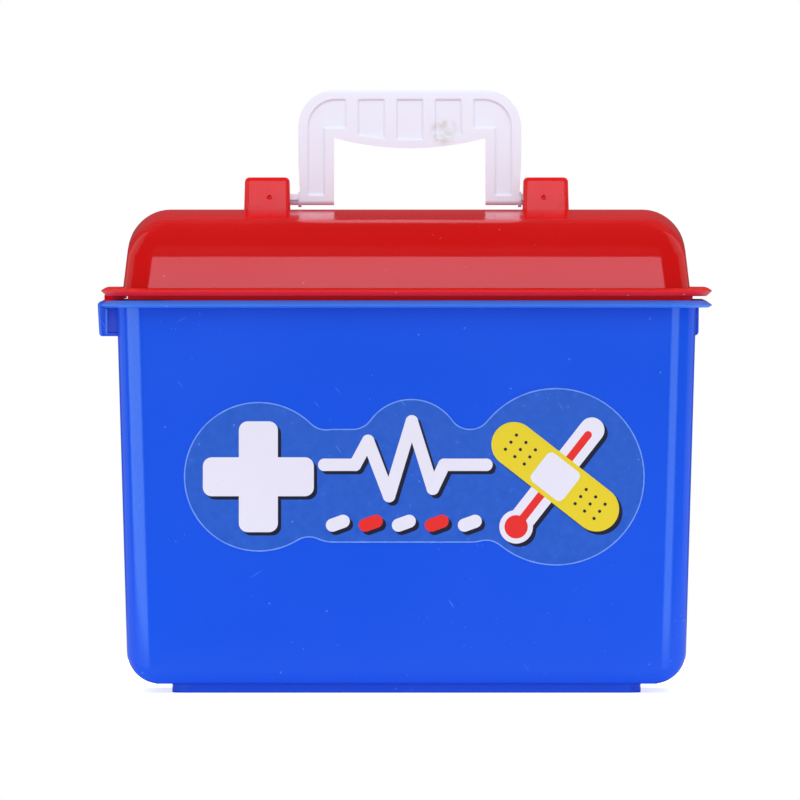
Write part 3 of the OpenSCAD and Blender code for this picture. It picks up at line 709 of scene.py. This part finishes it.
LIP_GAP, LIP_T, LIP_CORNER = 2.2, 1.4, 6.8
LIP_X, LIP_Y = TUB_X - LIP_GAP, TUB_Y - LIP_GAP
INTO_FLANGE = LID_Z + 0.4
SEAT_Z = RIM_Z + 0.2
LIP_STOP, SEAT_STOP = 16, 3.7
PAST_X, PAST_Y = 110, 70
bm = bmesh.new()
add_swept_ring(bm, LIP_X, LIP_Y, LIP_CORNER,
               [(0, RIM_Z - 3), (-LIP_T, RIM_Z - 3), (-LIP_T, INTO_FLANGE), (1, INTO_FLANGE),
                (1, SEAT_Z), (0, SEAT_Z)])
lid_seat = new_piece("lid_seat", bm)
for stop, top in ((LIP_STOP, SEAT_Z), (SEAT_STOP, RIM_Z + 5)):
    carve(lid_seat, box_cutter((-PAST_X, -PAST_Y, RIM_Z - 5), (-TUB_X + stop, PAST_Y, top)))
# The seat wears the brightened, glowing red: painted light in its shaded groove.
finish_piece(lid_seat, "lid", red_inner_glow, edge=0.15)
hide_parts("lid")

# %% [markdown]
# ## Hinge arms and snap tongue
#
# Two arms reach down from the lid between the ears and end in a boss with a pin. At the
# other end a springy tongue with a ramped nose snaps into the tub's pocket.

# %% The arms, each with its boss and pin
hinge = [value / MM for value in joints["lid_hinge"]["pos_m"]]
ARM_T, BOSS_R, PIN_R = 3.0, 2.4, 1.6
PIN_REACH, PIN_MIDDLE = 2.3, 1.35
for side, name in ((-1, "hinge_arm_front"), (1, "hinge_arm_back")):
    near = side * (HINGE_SPAN / 2 - ARM_PLAY)
    far = near - side * ARM_W
    bm = bmesh.new()
    add_box(bm, (hinge[0] - ARM_T / 2, min(near, far), hinge[2]),
            (hinge[0] + ARM_T / 2, max(near, far), INTO_FLANGE))
    add_box(bm, (hinge[0] - ARM_T / 2, min(near, far), SEAT_Z),
            (-TUB_X + 2.4, max(near, far), INTO_FLANGE))
    for radius, length, middle in (
            (BOSS_R, ARM_W, (near + far) / 2),
            (PIN_R, ARM_PLAY + PIN_REACH, near + side * PIN_MIDDLE)):
        post = bmesh.ops.create_cone(bm, cap_ends=True, segments=40, radius1=radius,
                                     radius2=radius, depth=length)["verts"]
        bmesh.ops.rotate(bm, verts=post, cent=(0, 0, 0),
                         matrix=Matrix.Rotation(math.pi / 2, 3, "X"))
        bmesh.ops.translate(bm, vec=(hinge[0], middle, hinge[2]), verts=post)
    arm = new_piece(name, bm)
    # The arm wears the brightened, glowing red: painted light in the shade under the flange.
    finish_piece(arm, "lid", red_inner_glow, edge=0.2)
    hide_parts("lid")

# %% The snap tongue
TONGUE_T, TONGUE_HALF_W, TONGUE_LOW = 1.5, 8, RIM_Z - 8.4
NOSE_OUT, NOSE_LOW, NOSE_FULL, NOSE_TOP = 1.1, RIM_Z - 7.6, RIM_Z - 6.3, RIM_Z - 5
bm = bmesh.new()
add_slab(bm, [(LIP_X - TONGUE_T, INTO_FLANGE), (LIP_X - TONGUE_T, TONGUE_LOW),
              (LIP_X, TONGUE_LOW), (LIP_X, NOSE_LOW), (LIP_X + NOSE_OUT, NOSE_FULL),
              (LIP_X + NOSE_OUT, NOSE_TOP), (LIP_X, NOSE_TOP), (LIP_X, INTO_FLANGE)],
         -TONGUE_HALF_W, TONGUE_HALF_W)
snap_tongue = new_piece("snap_tongue", bm)
finish_piece(snap_tongue, "lid", red_plastic, edge=0.2)
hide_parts("lid")

# %% [markdown]
# ## The carry handle
#
# The handle's outline and pockets are right in the CAD model, but its pockets' walls stand
# straight, where a mould needs them to slope. So a copy of its mesh is merged, its flat
# faces are joined again, and the pockets' floors are drawn in. The edges ought to be round
# as well. The bevel that would do it is held back by very short edges in this copy, so they
# stay nearly sharp.

# %% Copy and merge a CAD mesh
FLAT_ANGLE = math.radians(0.5)


def merged_copy(name, node):
    bm = bmesh.new()
    bm.from_mesh(frame["nodes"][node].data)
    bmesh.ops.scale(bm, vec=(1 / MM, 1 / MM, 1 / MM), verts=bm.verts)
    bmesh.ops.remove_doubles(bm, verts=bm.verts, dist=0.002)
    bmesh.ops.dissolve_limit(bm, angle_limit=FLAT_ANGLE, verts=bm.verts, edges=bm.edges)
    return new_piece(name, bm)


carry_handle = merged_copy("carry_handle", "handle")
print("merged handle faces:", len(carry_handle.data.polygons))

# %% Slope the walls of the handle's pockets
# The floors are inset and their old borders lifted to the handle's face. The test for floors
# has a fault: it also takes in two facets on each pin, four in all beside the ten pockets,
# and draws them out into thin fins. A limit on x at the legs' outer sides would mend it.
HANDLE_T = 5.2
FACE_Y, POCKET_WALL, FLOOR_BELOW = HANDLE_T / 2 * MM, 0.7 * MM, 0.4 * MM
SAME_POINT, SLIVER = 0.00002, 0.00003
bm = bmesh.new()
bm.from_mesh(carry_handle.data)
floors = [face for face in bm.faces if abs(face.normal.y) > 0.99
          and all(abs(v.co.y) < FACE_Y - FLOOR_BELOW for v in face.verts)]
bordering = {vert for face in floors for vert in face.verts}
bmesh.ops.inset_individual(bm, faces=floors, thickness=POCKET_WALL, depth=0.0,
                           use_even_offset=True)
for vert in bordering:
    vert.co.y = math.copysign(FACE_Y, vert.co.y)
bmesh.ops.remove_doubles(bm, verts=bm.verts, dist=SAME_POINT)
bmesh.ops.dissolve_degenerate(bm, dist=SLIVER, edges=bm.edges)
print("slivers:", sum(face.calc_area() < 1e-9 for face in bm.faces))
bm.to_mesh(carry_handle.data)
bm.free()
print("pockets:", len(floors))
# The handle wears the white plastic with its faint painted blue glow.
finish_piece(carry_handle, "handle", white_plastic, edge=0.5, segments=3)
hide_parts("handle")

# %% [markdown]
# ## The label
#
# The label is a film cut to a smooth outline, with its print in four inks. Its cut edge
# carries a thin painted highlight, a paler finish that stands in for the light the edge
# catches. The film is a copy of the CAD solid whose face is inset, so that the border can
# carry the painted highlight as a finish of its own.

# %% Film finish and the edge's painted highlight
FILM_BORDER = 0.00042


def film_finish(name, colour, second, roughness):
    return glossy_plastic(name, colour, second, paint(120, 160, 230), roughness,
                          dust=0.5, scratches=0.4, wave=0.5, cloud_size=380.0)


label_film_finish = film_finish("label_film", paint(15, 80, 188), paint(33, 97, 212), 0.25)
# The paler edge finish is a painted highlight.
edge_highlight_finish = film_finish("film_edge_highlight", paint(70, 125, 235), paint(125, 170, 250), 0.3)

label_piece = merged_copy("label_sheet", "label_film")
label_piece.data.materials.append(label_film_finish)
label_piece.data.materials.append(edge_highlight_finish)
bm = bmesh.new()
bm.from_mesh(label_piece.data)
bm.faces.ensure_lookup_table()
front = max((f for f in bm.faces if f.normal.y < -0.9), key=lambda f: f.calc_area())
made = bmesh.ops.inset_region(bm, faces=[front], thickness=FILM_BORDER, depth=0.0,
                              use_even_offset=True)["faces"]
# The inset border gets the paler finish, a painted highlight.
for border_face in made:
    border_face.material_index = 1
bm.to_mesh(label_piece.data)
bm.free()
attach(label_piece, "case")
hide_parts("label_film")
print("film border faces:", len(made))

# %% The four inks keep their CAD solids
inks = {
    "label_shadow": glossy_plastic("dark_ink", paint(10, 16, 46), paint(14, 22, 60),
                                   paint(60, 80, 130), 0.3, 0.3, 0.2),
    "label_white": glossy_plastic("white_ink", paint(226, 223, 238), paint(232, 229, 243),
                                  paint(200, 200, 220), 0.3, 0.3, 0.2),
    "label_red": glossy_plastic("red_ink", paint(236, 25, 17), paint(230, 22, 18),
                                paint(240, 120, 110), 0.3, 0.3, 0.2),
    "label_yellow": glossy_plastic("yellow_ink", paint(233, 210, 15), paint(228, 202, 12),
                                   paint(240, 230, 140), 0.3, 0.3, 0.2),
}
for node, ink in inks.items():
    frame["nodes"][node].data.materials.clear()
    frame["nodes"][node].data.materials.append(ink)

# %% [markdown]
# ## Camera
#
# The photograph looks at the case straight from the front, from a little above the middle,
# through a long lens. At the front wall three pixels are one millimetre.

# %% Set the camera
PHOTO_PIXELS = 800
PIXELS_PER_MM = 3.0
LOOK_X, LOOK_Z = -2.17, 97.8
DISTANCE, CAMERA_RISE = 8.0, 0.076
SENSOR = 36.0
look_at = Vector((LOOK_X, -TUB_Y, LOOK_Z)) * MM
camera = bpy.data.objects.new("camera", bpy.data.cameras.new("camera"))
bpy.context.scene.collection.objects.link(camera)
bpy.context.scene.camera = camera
camera.location = look_at + Vector((0, -DISTANCE, CAMERA_RISE))
camera.rotation_mode = "QUATERNION"
camera.rotation_quaternion = (look_at - camera.location).to_track_quat("-Z", "Y")
camera.data.sensor_width = SENSOR
camera.data.lens = SENSOR * DISTANCE / (PHOTO_PIXELS / PIXELS_PER_MM * MM)
print("lens", round(camera.data.lens, 1), "mm")

# %% [markdown]
# ## Light
#
# Two soft lamps give the colours: a key in front, above, and a stronger one behind, above.
# Neither shows in reflections. The shine on the lid and the corners comes from five cards
# that only reflections see: one in front, two low ones and two large dim ones at the sides.
# The world is white to the camera. In reflections it is a dim room, darkest behind the
# camera, and all that lies above the level behind the case is a dull red.

# %% World
world = bpy.data.worlds.new("studio")
bpy.context.scene.world = world
world.use_nodes = True
world.cycles.sampling_method = "NONE"
tree = world.node_tree
tree.nodes.clear()
direction = wire(tree, "ShaderNodeTexCoord").outputs["Generated"]
parts = wire(tree, "ShaderNodeSeparateXYZ", {0: direction})
share = wire(tree, "ShaderNodeMapRange", {"Value": parts.outputs["Y"], "From Min": -1.0})
ramp = wire(tree, "ShaderNodeValToRGB", {0: share.outputs[0]})
stops = [(0.0, 0.02), (0.14, 0.04), (0.3, 0.06), (0.5, 0.07), (0.77, 0.07), (1.0, 0.09)]
for place_at, _ in stops[1:-1]:
    ramp.color_ramp.elements.new(place_at)
for element, (place_at, level) in zip(ramp.color_ramp.elements, stops):
    element.position = place_at
    element.color = (level, level, level, 1)
rays = wire(tree, "ShaderNodeLightPath")
room = wire(tree, "ShaderNodeBackground", {"Color": (0.98, 0.99, 1.0, 1), "Strength": 0.82})
behind = wire(tree, "ShaderNodeMapRange", {"Value": share.outputs[0], "From Min": 0.85})
above = wire(tree, "ShaderNodeMapRange", {"Value": parts.outputs["Z"], "From Max": 0.1})
warm = wire(tree, "ShaderNodeMath", {0: behind.outputs[0], 1: above.outputs[0]},
            operation="MULTIPLY")
reflected = mix_colour(tree, warm.outputs[0], ramp.outputs["Color"], (0.36, 0.08, 0.09, 1))
mirror = wire(tree, "ShaderNodeBackground", {"Color": reflected})
white = wire(tree, "ShaderNodeBackground", {"Color": (1, 1, 1, 1), "Strength": 1.0})
unlit = wire(tree, "ShaderNodeMixShader",
             {0: rays.outputs["Is Glossy Ray"], 1: room.outputs[0], 2: mirror.outputs[0]})
seen = wire(tree, "ShaderNodeMixShader",
            {0: rays.outputs["Is Camera Ray"], 1: unlit.outputs[0], 2: white.outputs[0]})
wire(tree, "ShaderNodeOutputWorld", {"Surface": seen.outputs[0]})


# %% Lamps and cards
def area_light(name, azimuth, elevation, distance, size_x, size_y, strength, target,
               shine_only=False, shine=True):
    """A soft box in a direction seen from the case: azimuth 0 is the front, 90 the right"""
    lamp = bpy.data.objects.new(name, bpy.data.lights.new(name, "AREA"))
    bpy.context.scene.collection.objects.link(lamp)
    a, e = math.radians(azimuth), math.radians(elevation)
    back = Vector((math.sin(a) * math.cos(e), -math.cos(a) * math.cos(e), math.sin(e)))
    lamp.location = Vector(target) + back * distance
    lamp.rotation_mode = "QUATERNION"
    lamp.rotation_quaternion = back.to_track_quat("Z", "Y")
    lamp.data.shape = "RECTANGLE"
    lamp.data.size, lamp.data.size_y = size_x, size_y
    # A lamp of this power has the radiance "strength" on its face
    lamp.data.energy = strength * math.pi * size_x * size_y
    lamp.visible_camera = False
    if shine_only:
        lamp.visible_diffuse = False
    if not shine:
        lamp.visible_glossy = False
    return lamp


middle = (0, -TUB_Y * MM, 0.09)
area_light("key", 0, 42, 2.0, 1.6, 1.2, 1.5, middle, shine=False)
area_light("top_back", 180, 38, 2.0, 1.6, 1.2, 6.0, middle, shine=False)
for name, azimuth, elevation, far, width, height, strength, target, tint in (
        ("front_card", 0, 9.5, 1.8, 0.46, 0.54, 2.75, (0, -0.05, 0.14), (1.1, 0.95, 1.14)),
        ("left_card", -50, -3, 1.4, 1.5, 0.42, 2.5, (-0.09, -0.05, 0.07), (0.65, 1.1, 1.05)),
        ("right_card", 29, -3, 1.4, 0.8, 0.42, 2.1, (0.09, -0.05, 0.07), (0.65, 1.1, 1.05)),
        ("left_side_card", -115, 25, 1.4, 1.3, 2.2, 0.45, (-0.09, 0, 0.09), (0.9, 1.0, 1.0)),
        ("right_side_card", 115, 25, 1.4, 1.3, 2.2, 0.42, (0.09, 0, 0.09), (0.9, 1.0, 1.0))):
    card = area_light(name, azimuth, elevation, far, width, height, strength, target,
                      shine_only=True)
    card.data.color = tint

# %% [markdown]
# ## Floor
#
# The case stands on a pale floor that fades into the white background. To the camera the
# floor glows a little, so that it is white except where the case keeps the light away. It
# glows less to the light that bounces between surfaces, and is darker in reflections.

# %% Floor
FLOOR_HALF_X, FLOOR_HALF_Y, FLOOR_BACK, FLOOR_DROP = 600, 350, 160, 0.05
GLOW_SEEN, GLOW_BOUNCED = 0.7, 0.42
bm = bmesh.new()
bmesh.ops.create_grid(bm, x_segments=1, y_segments=1, size=1)
bmesh.ops.scale(bm, vec=(FLOOR_HALF_X, FLOOR_HALF_Y, 1), verts=bm.verts)
bmesh.ops.translate(bm, vec=(0, FLOOR_BACK, -FLOOR_DROP), verts=bm.verts)
floor = new_piece("floor", bm)
floor_finish = bpy.data.materials.new("floor")
floor_finish.use_nodes = True
tree = floor_finish.node_tree
shader = tree.nodes["Principled BSDF"]
shader.inputs["Roughness"].default_value = 0.9
shader.inputs["Specular IOR Level"].default_value = 0.0
shader.inputs["Emission Color"].default_value = (1, 1, 1, 1)
rays = wire(tree, "ShaderNodeLightPath")
pale = mix_colour(tree, rays.outputs["Is Glossy Ray"], (0.88, 0.88, 0.89, 1), (0.3, 0.3, 0.3, 1))
tree.links.new(pale, shader.inputs["Base Color"])
bounce = wire(tree, "ShaderNodeMath", {0: rays.outputs["Is Diffuse Ray"], 1: GLOW_BOUNCED},
              operation="MULTIPLY")
glow = wire(tree, "ShaderNodeMath",
            {0: rays.outputs["Is Camera Ray"], 1: GLOW_SEEN, 2: bounce.outputs[0]},
            operation="MULTIPLY_ADD")
tree.links.new(glow.outputs[0], shader.inputs["Emission Strength"])
floor.data.materials.append(floor_finish)

# %% Look settings
bpy.context.scene.view_settings.view_transform = "Standard"
